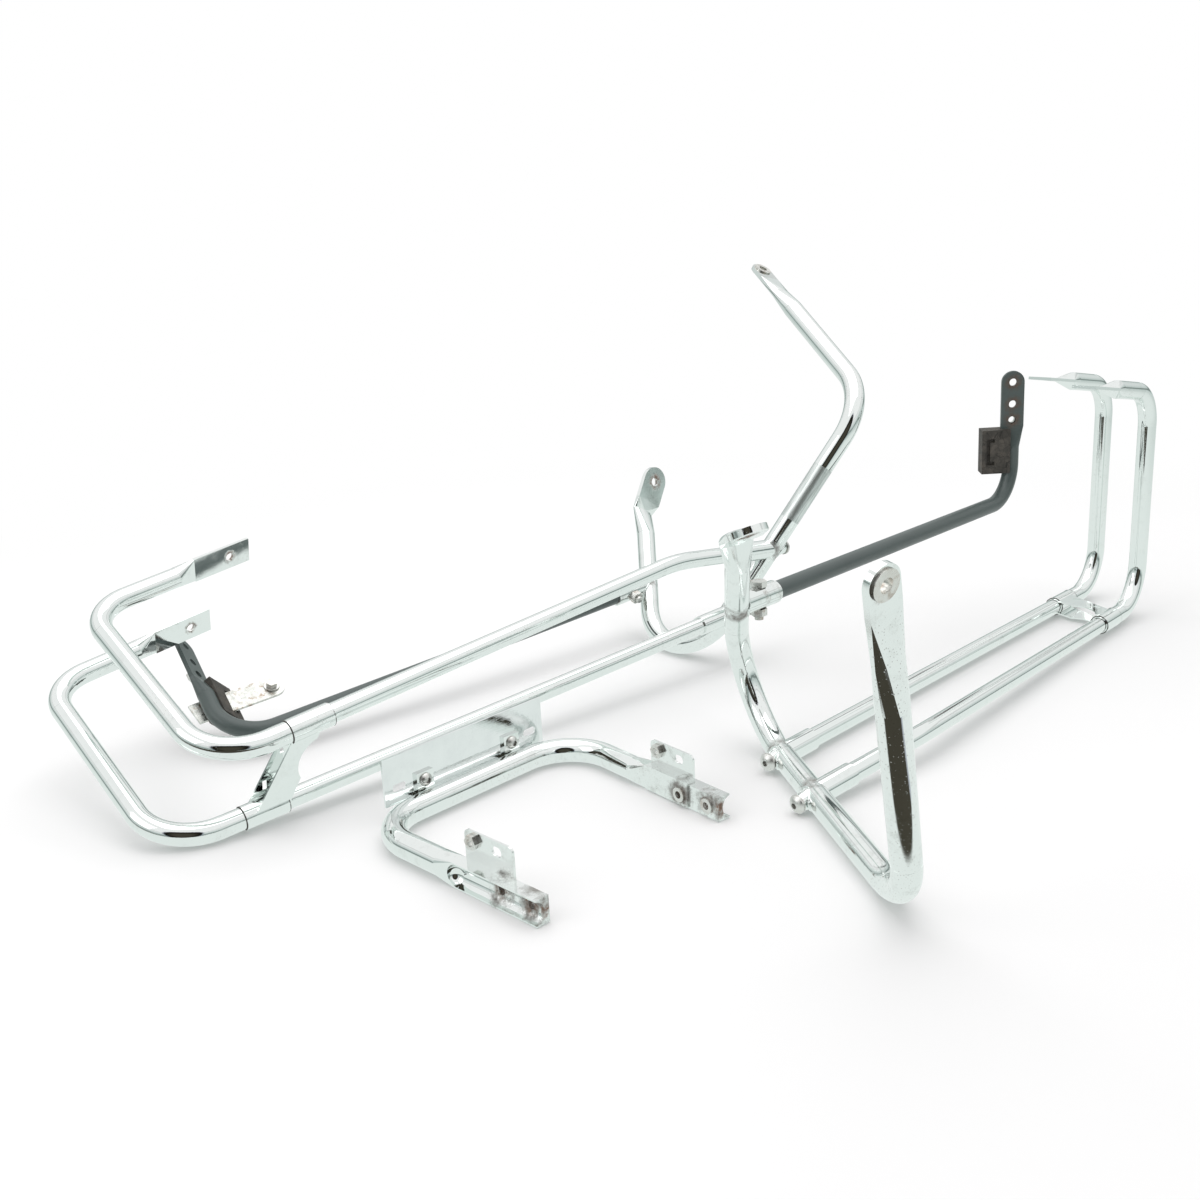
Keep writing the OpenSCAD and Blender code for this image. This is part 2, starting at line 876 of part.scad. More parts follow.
module strap_nut() {
    color("lightgray")
        strap_frame()
            translate([0, strap_thick, 0])
                rotate([-90, 0, 0])
                    difference() {
                        hex_prism(bolt_across, nut_h);
                        translate([0, 0, -1])
                            cylinder(r = bolt_r, h = nut_h + 2);
                    }
}

// Rear bow: a bent tube, its ends pressed to open channels, with two side tabs

bow_r = bow_d / 2;
bow_left = [bow_at[0], bow_at[1], bow_r];
bow_right = bow_left + [bow_width, 0, 0];
left_arm_way = [0, -1, 0];
right_arm_way = [-sin(bow_slant), -cos(bow_slant), 0];
left_arm_end = bow_left + bow_arm * left_arm_way;
right_arm_end = bow_right + bow_arm * right_arm_way;
channel_face = 5;
channel_lip = 8;
channel_blend = 20;
channel_trim = 0.3;
groove_r = 9.6;
groove_out = 1.6;
hole_from_end = 13;
ring_d = 13;
ring_h = 2.2;
tab_leaf = 54;
tab_from_end = 36;
tab_sheet = 2;
tab_top = 46;
tab_step = 8;
tab_corner = 5;
tab_nut_at = [10, 38];
tab_slot_at = [36, 37.5];
tab_slot_r = 4;
tab_slot_long = 3;
tab_nut_hole_r = 3.2;
tab_nut_across = 11;
tab_nut_h = 4;
right_inner = [-cos(bow_slant), sin(bow_slant), 0];
// Each arm: end, way out, way to its inner face, 1 if its frame is flipped, tab step, side of the tab's nut
bow_arms = [
    [left_arm_end, left_arm_way, [1, 0, 0], 0, 0, -1],
    [right_arm_end, right_arm_way, right_inner, 1, tab_step, 1]
];

module bow_path(r, past) {
    round_left = left_arm_end - channel_length * left_arm_way;
    round_right = right_arm_end - channel_length * right_arm_way;
    bar(stretched([round_left, bow_left, bow_right, round_right], past, past), [bow_bend, bow_bend], r);
}

// An arm's end as a frame: X to the inner face, Y up, Z out of the arm
module arm_frame(a) {
    at(a[0], a[2], a[1])
        mirror([0, a[3], 0])
            children();
}

module channel_section(less) {
    translate([-channel_lip + less, channel_trim - bow_r + less])
        square([channel_lip + channel_face - 2 * less, bow_d - 2 * channel_trim - 2 * less]);
}

module channel_envelope(a) {
    arm_frame(a) {
        translate([0, 0, -channel_length + channel_blend])
            linear_extrude(channel_length - channel_blend)
                channel_section(0);
        hull() {
            translate([0, 0, -channel_length - lap])
                cylinder(r = around(bow_r), h = slice, $fn = hull_fn);
            translate([0, 0, -channel_length + channel_blend])
                linear_extrude(slice)
                    channel_section(swell);
        }
    }
}

module channel_groove(a) {
    run = channel_length - channel_blend - 4;
    arm_frame(a)
        translate([-channel_lip - groove_out, 0, -run]) {
            cylinder(r = groove_r, h = run + 1);
            sphere(r = groove_r);
        }
}

module channel_holes(a, r) {
    arm_frame(a)
        for (i = [0, 1])
            translate([0, 0, -hole_from_end - i * channel_pitch])
                rotate([0, 90, 0])
                    cylinder(r = r, h = 3 * bow_d, center = true);
}

module rear_bow() {
    color("gainsboro")
        difference() {
            union() {
                bow_path(bow_r, 0);
                for (a = bow_arms)
                    channel_envelope(a);
            }
            bow_path(bow_r - bow_wall, 3);
            for (a = bow_arms) {
                channel_groove(a);
                channel_holes(a, channel_hole / 2);
            }
        }
}

// The nut nearer the bend sits on the tab's leaf, the outer one on the arm itself
module channel_nuts() {
    color("silver")
        for (a = bow_arms)
            difference() {
                arm_frame(a)
                    for (i = [0, 1])
                        translate([channel_face + i * tab_sheet, 0, -hole_from_end - i * channel_pitch])
                            rotate([0, 90, 0])
                                cylinder(d = ring_d, h = ring_h);
                channel_holes(a, channel_hole / 2 - play);
            }
}

// Outline of a tab's upright leaf, with its foot on the X axis
module leaf_outline(tall) {
    square([tab_leaf, tall - tab_corner]);
    translate([tab_corner, 0])
        square([tab_leaf - 2 * tab_corner, tall]);
    for (x = [tab_corner, tab_leaf - tab_corner])
        translate([x, tall - tab_corner])
            circle(r = tab_corner);
}

// A tab's own frame: X along the arm towards its end, Y up, Z to the inner side; floor at Y = 0
module tab_frame(a, s) {
    arm_frame(a)
        translate([s, -bow_r, -tab_from_end - tab_leaf])
            rotate([0, 90, 0])
                mirror([1, 0, 0])
                    children();
}

// Side tabs: a leaf on the arm's inner face, a step over its top, and an upright leaf
module bow_tabs() {
    floor_gap = 1.2;
    top = bow_d - channel_trim;
    color("gainsboro")
        for (a = bow_arms)
            difference() {
                union() {
                    tab_frame(a, channel_face)
                        translate([0, floor_gap, 0])
                            linear_extrude(tab_sheet)
                                square([tab_leaf, top + tab_sheet - floor_gap]);
                    tab_frame(a, channel_face - a[4])
                        translate([0, top, 0])
                            cube([tab_leaf, tab_sheet, a[4] + tab_sheet]);
                    tab_frame(a, channel_face - a[4])
                        translate([0, top, 0])
                            linear_extrude(tab_sheet)
                                leaf_outline(tab_top - top);
                }
                channel_holes(a, channel_hole / 2);
                tab_frame(a, channel_face - a[4]) {
                    translate(tab_nut_at)
                        cylinder(r = tab_nut_hole_r, h = 4 * tab_sheet, center = true);
                    for (end = [-1, 1])
                        translate([tab_slot_at[0] + end * tab_slot_long / 2, tab_slot_at[1], 0])
                            cylinder(r = tab_slot_r, h = 4 * tab_sheet, center = true);
                    translate([tab_slot_at[0], tab_slot_at[1], 0])
                        cube([tab_slot_long, 2 * tab_slot_r, 4 * tab_sheet], center = true);
                }
            }
}

module tab_nuts() {
    color("silver")
        for (a = bow_arms)
            tab_frame(a, channel_face - a[4])
                translate([tab_nut_at[0], tab_nut_at[1], a[5] > 0 ? tab_sheet : -tab_nut_h])
                    difference() {
                        hex_prism(tab_nut_across, tab_nut_h);
                        translate([0, 0, -1])
                            cylinder(r = tab_nut_hole_r, h = tab_nut_h + 2);
                    }
}

// Plate behind the bow's base: two lugs on the tube, the plate, its bolts and nuts

lug_width = 18;
lug_thick = 3;
lug_top = 36;
lug_y = bow_left[1] + bow_r - 2.5;
plate_y = lug_y + lug_thick;
plate_low = 16;
slot_height = 30;
slot_r = 3.5;
slot_long = 8;
bolt_height = 28.5;
plate_bolt_r = 3;
plate_head_d = 12;
plate_nut_across = 10;
plate_nut_h = 5;
bow_middle = bow_left[0] + bow_width / 2;

module at_lugs(y) {
    for (side = [-1, 1])
        translate([bow_middle + side * lug_pitch / 2, y, 0])
            children();
}

module plate_bolt_hole() {
    translate([0, 0, bolt_height])
        rotate([-90, 0, 0])
            cylinder(r = plate_bolt_r + play, h = 4 * bow_d, center = true);
}

module plate_lugs() {
    color("gainsboro")
        difference() {
            at_lugs(lug_y)
                translate([-lug_width / 2, 0, bow_r])
                    cube([lug_width, lug_thick, lug_top - bow_r]);
            bow_path(bow_r, 0);
            at_lugs(lug_y)
                plate_bolt_hole();
        }
}

module plate() {
    color("gainsboro")
        difference() {
            translate([bow_middle - plate_width / 2, plate_y, plate_low])
                cube([plate_width, plate_thick, plate_height]);
            at_lugs(lug_y)
                plate_bolt_hole();
            for (side = [-1, 1])
                translate([bow_middle + side * slot_pitch / 2, plate_y, slot_height])
                    rotate([-90, 0, 0]) {
                        for (end = [-1, 1])
                            translate([end * slot_long / 2, 0, 0])
                                cylinder(r = slot_r, h = 4 * plate_thick, center = true);
                        cube([slot_long, 2 * slot_r, 4 * plate_thick], center = true);
                    }
        }
}

module plate_bolts() {
    grip = lug_thick + plate_thick + plate_nut_h + 2;
    color("silver")
        at_lugs(lug_y)
            translate([0, 0, bolt_height])
                rotate([90, 0, 0]) {
                    domed_head(plate_head_d, 4.6, 2.4);
                    translate([0, 0, -grip])
                        cylinder(r = plate_bolt_r, h = grip + 1);
                }
}

module plate_nuts() {
    color("silver")
        at_lugs(plate_y + plate_thick)
            translate([0, 0, bolt_height])
                rotate([-90, 0, 0])
                    difference() {
                        hex_prism(plate_nut_across, plate_nut_h);
                        translate([0, 0, -1])
                            cylinder(r = plate_bolt_r, h = plate_nut_h + 2);
                    }
}

// The layout: how each of the three lies

module lie_bow() {
    translate([-layout_middle[0], -layout_middle[1], layout_rise])
        children();
}

module lie_right() {
    lie_bow()
        children();
}

module lie_left() {
    lie_bow()
        translate(left_at)
            rotate(left_turn)
                mirror([0, 1, 0])
                    children();
}

module right_stay() {
    stay(right_stay_reach, right_stay_up, right_stay_lean, 0);
}

module left_stay() {
    stay(left_stay_reach, left_stay_up, left_stay_lean, left_stay_turn);
}

module right_stay_nut() {
    stay_nut(right_stay_reach, right_stay_up, right_stay_lean, 0);
}

module left_stay_nut() {
    stay_nut(left_stay_reach, left_stay_up, left_stay_lean, left_stay_turn);
}

module right_bumper() {
    bumper(right_stay_reach, right_stay_up, right_stay_lean, 0);
}

lie_right() hoop();  // right_hoop
lie_right() mounting_tab();  // right_mounting_tab
lie_right() eye_bush();  // right_eye_bush
lie_right() stay_socket();  // right_stay_socket
lie_right() socket_bolt();  // right_socket_bolt
lie_right() socket_nut();  // right_socket_nut
lie_right() long_rail();  // right_long_rail
lie_right() short_rail();  // right_short_rail
lie_right() ferrules();  // right_ferrules
lie_right() bosses();  // right_bosses
lie_right() rail_washers();  // right_rail_washers
lie_right() rail_bolts();  // right_rail_bolts
lie_right() tie_plate();  // right_tie_plate
lie_right() long_loop();  // right_long_loop
lie_right() short_loop();  // right_short_loop
lie_right() right_stay();
lie_right() right_stay_nut();
lie_right() right_bumper();
lie_left() hoop();  // left_hoop
lie_left() mounting_tab();  // left_mounting_tab
lie_left() eye_bush();  // left_eye_bush
lie_left() stay_socket();  // left_stay_socket
lie_left() socket_bolt();  // left_socket_bolt
lie_left() socket_nut();  // left_socket_nut
lie_left() long_rail();  // left_long_rail
lie_left() short_rail();  // left_short_rail
lie_left() ferrules();  // left_ferrules
lie_left() bosses();  // left_bosses
lie_left() rail_washers();  // left_rail_washers
lie_left() rail_bolts();  // left_rail_bolts
lie_left() tie_plate();  // left_tie_plate
lie_left() long_loop();  // left_long_loop
lie_left() short_loop();  // left_short_loop
lie_left() left_stay();
lie_left() left_stay_nut();
lie_left() strapped_bumper();  // left_bumper
lie_left() strap();  // left_strap
lie_left() strap_bolt();  // left_strap_bolt
lie_left() strap_nut();  // left_strap_nut
lie_bow() rear_bow();
lie_bow() channel_nuts();
lie_bow() bow_tabs();
lie_bow() tab_nuts();
lie_bow() plate_lugs();
lie_bow() plate();
lie_bow() plate_bolts();
lie_bow() plate_nuts();
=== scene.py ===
"""Looks of the pannier frame: procedural finishes, weld beads and seams, a pale studio and the camera."""
import math
import random

import bpy
from mathutils import Matrix, Vector


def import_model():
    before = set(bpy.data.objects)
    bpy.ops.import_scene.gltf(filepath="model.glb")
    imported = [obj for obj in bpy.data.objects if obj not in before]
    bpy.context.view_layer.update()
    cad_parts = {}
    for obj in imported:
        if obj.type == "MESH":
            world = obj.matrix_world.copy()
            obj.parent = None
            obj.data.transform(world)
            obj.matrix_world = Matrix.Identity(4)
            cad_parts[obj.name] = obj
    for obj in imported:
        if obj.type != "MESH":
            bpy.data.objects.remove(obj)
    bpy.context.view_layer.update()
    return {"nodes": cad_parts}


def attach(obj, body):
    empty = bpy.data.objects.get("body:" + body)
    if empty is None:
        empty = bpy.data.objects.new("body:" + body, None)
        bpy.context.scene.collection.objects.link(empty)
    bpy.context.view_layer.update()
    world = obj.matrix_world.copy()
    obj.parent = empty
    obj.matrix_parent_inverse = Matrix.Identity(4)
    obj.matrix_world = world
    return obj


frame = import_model()
NODES = frame["nodes"]
MM = 0.001

# Camera, found from the photograph: place in metres, turn, dip and roll in radians, focal length in pixels
CAMERA_AT = Vector((-0.96695, -0.77463, 0.48285))
CAMERA_YAW = 0.780191
CAMERA_DIP = 0.291102
CAMERA_ROLL = -0.053647
FOCAL_PX = 1279.62
FRAME_PX = 1200
SENSOR_MM = 36.0
CLIP_NEAR = 0.02
CLIP_FAR = 50

# Where the two side frames lie: the same layout as in the CAD part, in millimetres and degrees
MIDDLE = Vector((17.48, 19.21, -0.1))
LEFT_AT = Vector((37.7, 133.6, -70.4))
LEFT_TURNS = (70.96, 4.0, 173.78)

# Lines and sizes of a side frame, in its own millimetres: the hoop's base tube and its first arm
BASE_AT = Vector((0, 0, 11))
ALONG = Vector((-0.5807, -0.81412, 0))
ARM = Vector((-0.51919, -0.43552, 0.73537))
HOOP_R = 11.0

# Welds: how far along the base tube or up the arm each sits and which way it faces, the radius of its ring
# and of its bead, and how far the bead's middle stands out from the tube
BOSSES = {"long": (148, Vector((-1, 0, 0))), "short": (234, Vector((-0.98595, 0.13786, -0.09433)))}
SOCKET_UP = 184
SOCKET_WAY = Vector((1, 0, 0))
BOSS_RING_R = 9.4
BOSS_BEAD_R = 0.95
BOSS_BEAD_OUT = 0.2
SOCKET_RING_R = 10.6
SOCKET_BEAD_R = 1.25
SOCKET_BEAD_OUT = 0.3

# Seams at both ends of each loop's sleeve: the rail's end and direction, and each seam's step from there
RAIL_ENDS = {"long": (Vector((498, -120.49, 11)), Vector((1, 0, 0))),
             "short": (Vector((452.1, -192.96, 12.74)), Vector((0.99903, 0.03636, -0.02488)))}
SEAM_STEPS = (("rear", 0.2), ("front", -39.8))
SEAM_RING_R = 10.1
SEAM_BEAD_R = 0.6

# How a bead is drawn: points round its path and its section, and how its thickness swells, sinks and varies
PATH_POINTS = 96
SECTION_POINTS = 10
PHASE_SPAN = 6.28
BEAD_LEAST = 0.86
BEAD_SWELL = 0.22
BEAD_VARIES = 0.10

# Places of rust and dirt on a side frame, in its own millimetres
HOOP_HOLES = [(-173.73, -153.05, 238.64), (-349.8, -384.3, 277.9)]
LOOP_HOLES = [(414.7, -120.49, 284.93), (368.7, -190.5, 284.93)]
HOOP_GRIME = [(-85.9, -120.5, 11), (-135.9, -190.5, 11), (-95.5, -80.1, 146.3)]
STAY_ENDS = [(-63.5, -80.14, 146.3), (-46.0, -80.14, 146.3)]
STAY_HOLES = {"right": [(410.96, -80.14, 280.26), (411.6, -80.14, 255.67), (412.07, -80.14, 237.68)],
              "left": []}

# The same for the bow as it lies, round the ends of its two channels
BOW_RUST = [(-424.3, -154.2, 11.1), (-424.3, -122.2, 11.1), (-426.0, -172.0, 11.0),
            (-221.5, -152.3, 11.1), (-217.4, -120.6, 11.1), (-224.0, -168.0, 11.0)]

# Wear of each hoop, and the hazy band on the left one: metres along its base tube, and its soft edge
HOOP_WEAR = {"right": 0.65, "left": 0.4}
BAND_FROM = 0.272
BAND_TO = 0.340
BAND_EDGE = 0.0006


# Places

def right_place():
    return Matrix.Translation(-MIDDLE)


def left_place():
    about = {axis: Matrix.Rotation(math.radians(turn), 4, axis) for axis, turn in zip("XYZ", LEFT_TURNS)}
    turned = about["Z"] @ about["Y"] @ about["X"]
    return Matrix.Translation(LEFT_AT - MIDDLE) @ turned @ Matrix.Diagonal((1, -1, 1, 1))


PLACES = {"right": right_place(), "left": left_place()}


def placed(side, points):
    """Points of a side frame's own millimetres, in metres where that frame lies."""
    return [PLACES[side] @ Vector(p) * MM for p in points]


# Shader helpers

class Tree:
    """A node tree with short calls: each makes a node and returns one of its outputs."""

    # Sockets of a Mix node, for numbers and for colours
    NUMBER_A, NUMBER_B = 2, 3
    COLOR_A, COLOR_B, COLOR_OUT = 6, 7, 2

    def __init__(self, tree):
        self.tree = tree
        self.nodes = tree.nodes
        self.nodes.clear()

    def put(self, socket, value):
        if isinstance(value, bpy.types.NodeSocket):
            self.tree.links.new(value, socket)
        else:
            socket.default_value = value

    def make(self, kind, inputs=None, out=0, **options):
        node = self.nodes.new(kind)
        for key, value in options.items():
            setattr(node, key, value)
        for key, value in (inputs or {}).items():
            self.put(node.inputs[key], value)
        return node.outputs[out]

    def show(self, shader, kind="ShaderNodeOutputMaterial"):
        self.tree.links.new(shader, self.nodes.new(kind).inputs["Surface"])

    def position(self):
        return self.make("ShaderNodeNewGeometry")

    def math(self, op, a, b=0.0, clamp=False):
        return self.make("ShaderNodeMath", {0: a, 1: b}, operation=op, use_clamp=clamp)

    def plus(self, a, b):
        return self.math("ADD", a, b)

    def times(self, a, b, clamp=False):
        return self.math("MULTIPLY", a, b, clamp)

    def vector(self, op, a, b=(0.0, 0.0, 0.0)):
        return self.make("ShaderNodeVectorMath", {0: a, 1: b}, operation=op)

    def measure(self, op, a, b=(0.0, 0.0, 0.0)):
        """A vector sum whose answer is a number, such as a length or a distance."""
        return self.make("ShaderNodeVectorMath", {0: a, 1: b}, out=1, operation=op)

    def span(self, value, low, high, to_low=0.0, to_high=1.0):
        """The value carried smoothly from low and high to to_low and to_high."""
        ends = {"Value": value, "From Min": low, "From Max": high, "To Min": to_low, "To Max": to_high}
        return self.make("ShaderNodeMapRange", ends, interpolation_type="SMOOTHSTEP")

    def fade(self, value, low, high):
        """1 below low, 0 above high."""
        return self.span(value, low, high, 1.0, 0.0)

    def window(self, value, low, low_full, high_full, high):
        """1 between low_full and high_full, 0 below low and above high."""
        return self.times(self.span(value, low, low_full), self.fade(value, high_full, high))

    def noise(self, where, scale, detail=4.0, rough=0.55, distort=0.0):
        look = {"Scale": scale, "Detail": detail, "Roughness": rough, "Distortion": distort}
        return self.make("ShaderNodeTexNoise", {"Vector": where, **look})

    def stir(self, noise, amount):
        """Noise as an offset on both sides of 0, half of amount at most."""
        return self.times(self.math("SUBTRACT", noise, 0.5), amount)

    def cells(self, where, scale, **options):
        return self.make("ShaderNodeTexVoronoi", {"Vector": where, "Scale": scale}, **options)

    def mix(self, share, a, b):
        """Colour a, changed into colour b by the share."""
        inputs = {0: share, self.COLOR_A: a, self.COLOR_B: b}
        return self.make("ShaderNodeMix", inputs, out=self.COLOR_OUT, data_type="RGBA")

    def blend(self, share, a, b):
        """Number a, changed into number b by the share."""
        return self.make("ShaderNodeMix", {0: share, self.NUMBER_A: a, self.NUMBER_B: b})

    def bump(self, height, distance, strength=1.0, over=None):
        inputs = {"Height": height, "Distance": distance, "Strength": strength}
        if over is not None:
            inputs["Normal"] = over
        return self.make("ShaderNodeBump", inputs)


def rgb(r, g, b):
    return (r, g, b, 1.0)


WHITE = rgb(1.0, 1.0, 1.0)
IOR = 1.45


def new_material(name):
    material = bpy.data.materials.new(name)
    material.use_nodes = True
    return material, Tree(material.node_tree)


def finish_material(tree, color, metallic, roughness, normal, coat=0.0, coat_rough=0.1):
    inputs = {"Base Color": color, "Metallic": metallic, "Roughness": roughness, "IOR": IOR,
              "Coat Weight": coat, "Coat Roughness": coat_rough, "Normal": normal}
    tree.show(tree.make("ShaderNodeBsdfPrincipled", inputs))


def near_points(t, where, points, inner, outer, ragged):
    """1 inside inner metres of a point, 0 beyond outer, with a ragged edge."""
    wander = t.stir(t.noise(where, scale=190.0, detail=5.0, rough=0.65), ragged)
    nearest = None
    for point in points:
        gap = t.measure("DISTANCE", where, tuple(point))
        nearest = gap if nearest is None else t.math("MINIMUM", nearest, gap)
    return t.fade(t.plus(nearest, wander), inner, outer)


# Materials

def brown_rust(t, where, points, reach):
    """How much rust lies here, round the points, and its colour."""
    near = near_points(t, where, points, reach * 0.7, reach * 1.25, reach * 0.9)
    tone = t.noise(where, scale=420.0, detail=6.0, rough=0.7)
    brown = t.mix(tone, rgb(0.055, 0.035, 0.026), rgb(0.30, 0.155, 0.085))
    flecks = t.span(t.noise(where, scale=150.0, detail=6.0, rough=0.75), 0.40, 0.62, 0.12, 0.95)
    return t.times(near, flecks), brown


def hazy_band(t, where, color, rough, band):
    """A hazy band on a tube, between two places along it, with fine lines that run round the tube."""
    start, way, first, last = band
    run = t.measure("DOT_PRODUCT", t.vector("SUBTRACT", where, tuple(start)), tuple(way))
    inside = t.window(run, first, first + BAND_EDGE, last - BAND_EDGE, last)
    runs = t.make("ShaderNodeCombineXYZ", {0: run, 1: run, 2: run})
    across = t.vector("SUBTRACT", where, t.vector("MULTIPLY", tuple(way), runs))
    stretched = t.vector("ADD", across, t.vector("MULTIPLY", where, (0.04, 0.04, 0.04)))
    lines = t.noise(stretched, scale=700.0, detail=2.0, rough=0.6)
    color = t.mix(t.times(inside, t.span(lines, 0.40, 0.64, 0.15, 0.75)), color, rgb(0.42, 0.47, 0.45))
    rough = t.math("MAXIMUM", rough, t.times(inside, t.span(lines, 0.3, 0.7, 0.30, 0.48)))
    return color, rough


def chrome(name, rusty=(), reach=0.009, grimy=(), band=None, wear=0.35, ripple=0.00012, dull=0.0):
    """Bright plating with ripples, hazy patches, pits, dirt in the corners and rust round the holes."""
    material, t = new_material(name)
    where = t.position()
    patch = t.noise(where, scale=9.0, detail=3.0)
    haze = t.noise(where, scale=65.0, detail=6.0, rough=0.7)
    fine = t.noise(where, scale=900.0, detail=3.0, rough=0.7)
    corner_darkening = 0.0
    if grimy:
        corners = near_points(t, where, grimy, inner=0.009, outer=0.017, ragged=0.010)
        corner_darkening = t.times(corners, t.span(haze, 0.36, 0.62), clamp=True)
    corner_darkening = t.times(corner_darkening, 0.85)
    pits = t.times(t.fade(t.cells(where, 420.0), 0.1, 0.24), t.span(patch, 0.52, 0.68), clamp=True)
    smear = t.times(t.span(haze, 0.5, 0.78), wear, clamp=True)

    color = t.mix(patch, rgb(0.80, 0.855, 0.835), rgb(0.90, 0.915, 0.905))
    color = t.mix(smear, color, rgb(0.66, 0.68, 0.66))
    color = t.mix(t.times(pits, 0.55), color, rgb(0.20, 0.17, 0.13))
    color = t.mix(corner_darkening, color, t.mix(fine, rgb(0.045, 0.035, 0.028), rgb(0.15, 0.115, 0.085)))
    soiled = t.math("MAXIMUM", t.times(pits, 0.5), corner_darkening)
    if rusty:
        rust, brown = brown_rust(t, where, rusty, reach)
        color = t.mix(rust, color, brown)
        soiled = t.math("MAXIMUM", soiled, rust)
    rough = t.plus(t.times(smear, 0.22), t.span(patch, 0.35, 0.7, 0.025 + dull, 0.075 + dull))
    if band:
        color, rough = hazy_band(t, where, color, rough, band)

    wave = t.bump(t.noise(where, scale=38.0, detail=2.0, rough=0.4), distance=ripple, strength=0.8)
    grains = t.plus(t.times(fine, t.plus(soiled, 0.06)), t.times(pits, -0.6))
    grit = t.bump(grains, distance=0.0004, strength=0.5, over=wave)
    metallic = t.span(soiled, 0.25, 0.85, 1.0, 0.12)
    finish_material(t, color, metallic, t.blend(soiled, rough, 0.72), grit)
    return material


def mirror_plate(name):
    """Polished sheet: soft handling marks and fine cross scratches."""
    material, t = new_material(name)
    where = t.position()
    lines = t.noise(t.vector("MULTIPLY", where, (40.0, 300.0, 1500.0)), scale=1.0, detail=3.0, rough=0.6)
    cross = t.noise(t.vector("MULTIPLY", where, (900.0, 300.0, 60.0)), scale=1.0, detail=2.0, rough=0.6)
    blotch = t.noise(where, scale=26.0, detail=5.0, rough=0.65)
    color = t.mix(t.span(blotch, 0.35, 0.7), rgb(0.86, 0.885, 0.88), rgb(0.80, 0.825, 0.825))
    rough = t.plus(t.span(blotch, 0.35, 0.75, 0.03, 0.075), t.times(t.span(lines, 0.58, 0.75), 0.05))
    height = t.plus(lines, t.times(t.span(cross, 0.62, 0.72), 0.6))
    finish_material(t, color, 1.0, rough, t.bump(height, distance=0.00006, strength=0.5))
    return material


def stay_black(name, rusty):
    """Satin black paint with scuffs along the bar, bare brown steel at the socket and the holes."""
    material, t = new_material(name)
    where = t.position()
    patch = t.noise(where, scale=14.0, detail=4.0)
    fine = t.noise(where, scale=700.0, detail=4.0, rough=0.7)
    scuff = t.span(t.noise(where, scale=120.0, detail=7.0, rough=0.78, distort=0.6), 0.6, 0.72)
    bare = near_points(t, where, rusty, inner=0.004, outer=0.012, ragged=0.012)
    rust = t.times(bare, t.span(fine, 0.3, 0.6, 0.3, 1.0))
    color = t.mix(patch, rgb(0.055, 0.072, 0.070), rgb(0.10, 0.125, 0.12))
    color = t.mix(t.times(scuff, 0.5), color, rgb(0.16, 0.175, 0.17))
    brown = t.mix(fine, rgb(0.045, 0.028, 0.02), rgb(0.19, 0.10, 0.06))
    color = t.mix(t.times(rust, 0.8), color, brown)
    rough = t.blend(rust, t.span(patch, 0.3, 0.7, 0.30, 0.46), 0.75)
    height = t.plus(t.times(fine, 0.4), t.times(scuff, -0.5))
    grain = t.bump(height, distance=0.00018, strength=0.6)
    finish_material(t, color, t.times(scuff, 0.25), rough, grain, coat=0.18, coat_rough=0.22)
    return material


def aged_rubber(name):
    """Matt moulded rubber, dusty on its faces and cracked a little."""
    material, t = new_material(name)
    where = t.position()
    dust = t.span(t.noise(where, scale=70.0, detail=7.0, rough=0.72), 0.42, 0.72)
    grain = t.noise(where, scale=1400.0, detail=3.0, rough=0.7)
    cracks = t.fade(t.cells(where, 130.0, feature="DISTANCE_TO_EDGE"), 0.0, 0.035)
    color = t.mix(dust, rgb(0.052, 0.047, 0.040), rgb(0.13, 0.115, 0.098))
    color = t.mix(t.times(cracks, 0.7), color, rgb(0.008, 0.007, 0.006))
    height = t.math("SUBTRACT", t.times(grain, 0.5), t.times(cracks, 0.6))
    rough = t.span(dust, 0.0, 1.0, 0.62, 0.9)
    finish_material(t, color, 0.0, rough, t.bump(height, distance=0.0003, strength=0.7))
    return material


def zinc(name, tint=(0.70, 0.70, 0.675), stain=0.35):
    """Dull zinc on bolts, nuts and the strap, with white bloom, brown stain, and painted shade with some dirt
    darkening the corners.
    """
    material, t = new_material(name)
    where = t.position()
    bloom = t.noise(where, scale=160.0, detail=6.0, rough=0.7)
    fine = t.noise(where, scale=1300.0, detail=3.0, rough=0.7)
    corner = t.make("ShaderNodeAmbientOcclusion", {"Distance": 0.0025}, out=1, samples=3)
    # painted shade with some dirt: the colour turns brown-black where ambient occlusion finds the zinc
    # enclosed, in corners and between parts
    corner_darkening = t.times(t.fade(corner, 0.25, 0.75), 0.8)
    color = t.mix(t.span(bloom, 0.35, 0.7), rgb(*tint), rgb(0.80, 0.80, 0.77))
    stained = t.span(t.noise(where, scale=90.0, detail=6.0, rough=0.7), 0.5, 0.66)
    color = t.mix(t.times(stained, stain), color, rgb(0.27, 0.17, 0.10))
    color = t.mix(corner_darkening, color, rgb(0.07, 0.05, 0.038))
    rough = t.plus(t.span(bloom, 0.3, 0.7, 0.22, 0.42), t.times(corner_darkening, 0.35))
    metallic = t.span(corner_darkening, 0.2, 0.9, 1.0, 0.3)
    finish_material(t, color, metallic, rough, t.bump(fine, distance=0.00012, strength=0.6))
    return material


def seam_shade_and_grime(name):
    """Painted shade and dark dirt in the seam where a loop enters its sleeve: a dark ring that stands for the
    shaded gap at the sleeve's end.
    """
    material, t = new_material(name)
    fine = t.noise(t.position(), scale=800.0, detail=4.0, rough=0.7)
    color = t.mix(fine, rgb(0.03, 0.03, 0.027), rgb(0.14, 0.135, 0.12))
    rough = t.span(fine, 0.3, 0.7, 0.5, 0.8)
    finish_material(t, color, 0.2, rough, t.bump(fine, distance=0.0002, strength=0.6))
    return material


# Which node wears which finish

def dress(name, material):
    node = NODES[name]
    if not node.material_slots:
        node.data.materials.append(material)
    for slot in node.material_slots:
        slot.material = material


